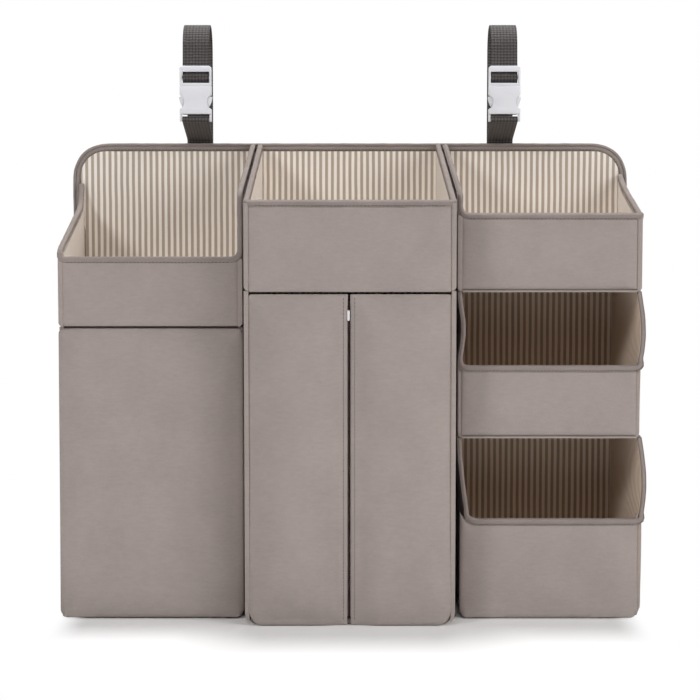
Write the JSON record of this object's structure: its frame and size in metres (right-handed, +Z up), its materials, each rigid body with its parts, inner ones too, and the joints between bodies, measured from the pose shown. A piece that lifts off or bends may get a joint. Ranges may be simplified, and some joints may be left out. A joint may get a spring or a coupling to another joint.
{
  "type": "crib organizer",
  "caption": "Hanging fabric crib organizer: open pockets, drop-flap bin, zipped cupboard and stacked tiers on a stiff back panel carried by buckled webbing loops.",
  "frame": {"origin": "on the ground under the middle of the whole width and depth", "axes": "+X to the viewer's right, -Y towards the viewer and the pockets' fronts, +Z up"},
  "size_m": [0.54, 0.197, 0.544],
  "materials": {
    "suede_grey": "warm grey brushed fabric over padded board",
    "stripe_lining": "narrow cream and beige striped lining",
    "binding_grey": "folded fabric tape",
    "webbing": "dark grey woven webbing",
    "zip_tape": "dark woven zip tape with a moulded coil",
    "hook_loop": "hook and loop tape",
    "white_plastic": "moulded white plastic"
  },
  "bodies": {
    "carcass": {"back_panel": "suede_grey", "back_lining": "stripe_lining", "back_edge_tape": "binding_grey", "left_pocket_outer_wall": "suede_grey", "left_pocket_inner_wall": "suede_grey", "left_pocket_floor": "stripe_lining", "left_pocket_front": "suede_grey", "left_pocket_rim": "binding_grey", "left_bin_outer_wall": "suede_grey", "left_bin_inner_wall": "suede_grey", "left_bin_floor": "stripe_lining", "left_bin_header": "suede_grey", "flap_loop_tape": "hook_loop", "centre_pocket_left_wall": "suede_grey", "centre_pocket_right_wall": "suede_grey", "centre_pocket_floor": "stripe_lining", "centre_pocket_front": "suede_grey", "centre_pocket_rim": "binding_grey", "cupboard_left_wall": "suede_grey", "cupboard_right_wall": "suede_grey", "cupboard_floor": "stripe_lining", "right_upper_inner_wall": "suede_grey", "right_upper_outer_wall": "suede_grey", "right_upper_floor": "stripe_lining", "right_upper_front": "suede_grey", "right_upper_rim": "binding_grey", "right_middle_inner_wall": "suede_grey", "right_middle_outer_wall": "suede_grey", "right_middle_floor": "stripe_lining", "right_middle_front": "suede_grey", "right_middle_rim": "binding_grey", "right_lower_inner_wall": "suede_grey", "right_lower_outer_wall": "suede_grey", "right_lower_floor": "stripe_lining", "right_lower_front": "suede_grey", "right_lower_rim": "binding_grey", "left_strap_back": "webbing", "left_strap_anchor": "webbing", "left_buckle_socket": "white_plastic", "right_strap_back": "webbing", "right_strap_anchor": "webbing", "right_buckle_socket": "white_plastic"},
    "flap": {"left_bin_flap": "suede_grey", "flap_hook_tape": "hook_loop"},
    "left_door": {"cupboard_left_door": "suede_grey", "zip_left_half": "zip_tape"},
    "right_door": {"cupboard_right_door": "suede_grey", "zip_right_half": "zip_tape"},
    "slider": {"zip_slider": "white_plastic"},
    "pull": {"zip_pull": "white_plastic"},
    "left_loop": {"left_strap_front": "webbing", "left_buckle_plug": "white_plastic"},
    "right_loop": {"right_strap_front": "webbing", "right_buckle_plug": "white_plastic"},
    "left_outer_latch": {"left_buckle_outer_latch": "white_plastic"},
    "left_inner_latch": {"left_buckle_inner_latch": "white_plastic"},
    "right_outer_latch": {"right_buckle_outer_latch": "white_plastic"},
    "right_inner_latch": {"right_buckle_inner_latch": "white_plastic"}
  },
  "joints": [
    {"name": "flap_drop", "type": "hinge", "parent": "carcass", "child": "flap", "pos_m": [-0.178, -0.06855, 0.001], "axis": [1, 0, 0], "range_deg": [0, 90]},
    {"name": "left_door_swing", "type": "hinge", "parent": "carcass", "child": "left_door", "pos_m": [-0.0884, -0.09855, 0.15], "axis": [0, 0, -1], "range_deg": [0, 90]},
    {"name": "right_door_swing", "type": "hinge", "parent": "carcass", "child": "right_door", "pos_m": [0.0884, -0.09855, 0.15], "axis": [0, 0, 1], "range_deg": [0, 150]},
    {"name": "zip_travel", "type": "slide", "parent": "left_door", "child": "slider", "axis": [0, 0, -1], "range_m": [0, 0.26]},
    {"name": "pull_swing", "type": "hinge", "parent": "slider", "child": "pull", "pos_m": [-0.0013, -0.0973, 0.28], "axis": [-1, 0, 0], "range_deg": [0, 90]},
    {"name": "left_buckle_release", "type": "slide", "parent": "carcass", "child": "left_loop", "axis": [0, 0, 1], "range_m": [0, 0.026], "deforming": ["left_buckle_outer_latch", "left_buckle_inner_latch"]},
    {"name": "right_buckle_release", "type": "slide", "parent": "carcass", "child": "right_loop", "axis": [0, 0, 1], "range_m": [0, 0.026], "deforming": ["right_buckle_outer_latch", "right_buckle_inner_latch"]},
    {"name": "left_outer_press", "type": "hinge", "parent": "left_loop", "child": "left_outer_latch", "pos_m": [-0.1563, 0.0476, 0.4841], "axis": [0, -1, 0], "range_deg": [0, 12], "stiffness_Nm_per_rad": 0.05},
    {"name": "left_inner_press", "type": "hinge", "parent": "left_loop", "child": "left_inner_latch", "pos_m": [-0.1357, 0.0476, 0.4841], "axis": [0, 1, 0], "range_deg": [0, 12], "stiffness_Nm_per_rad": 0.05},
    {"name": "right_outer_press", "type": "hinge", "parent": "right_loop", "child": "right_outer_latch", "pos_m": [0.1563, 0.0476, 0.4841], "axis": [0, 1, 0], "range_deg": [0, 12], "stiffness_Nm_per_rad": 0.05},
    {"name": "right_inner_press", "type": "hinge", "parent": "right_loop", "child": "right_inner_latch", "pos_m": [0.1357, 0.0476, 0.4841], "axis": [0, -1, 0], "range_deg": [0, 12], "stiffness_Nm_per_rad": 0.05}
  ]
}
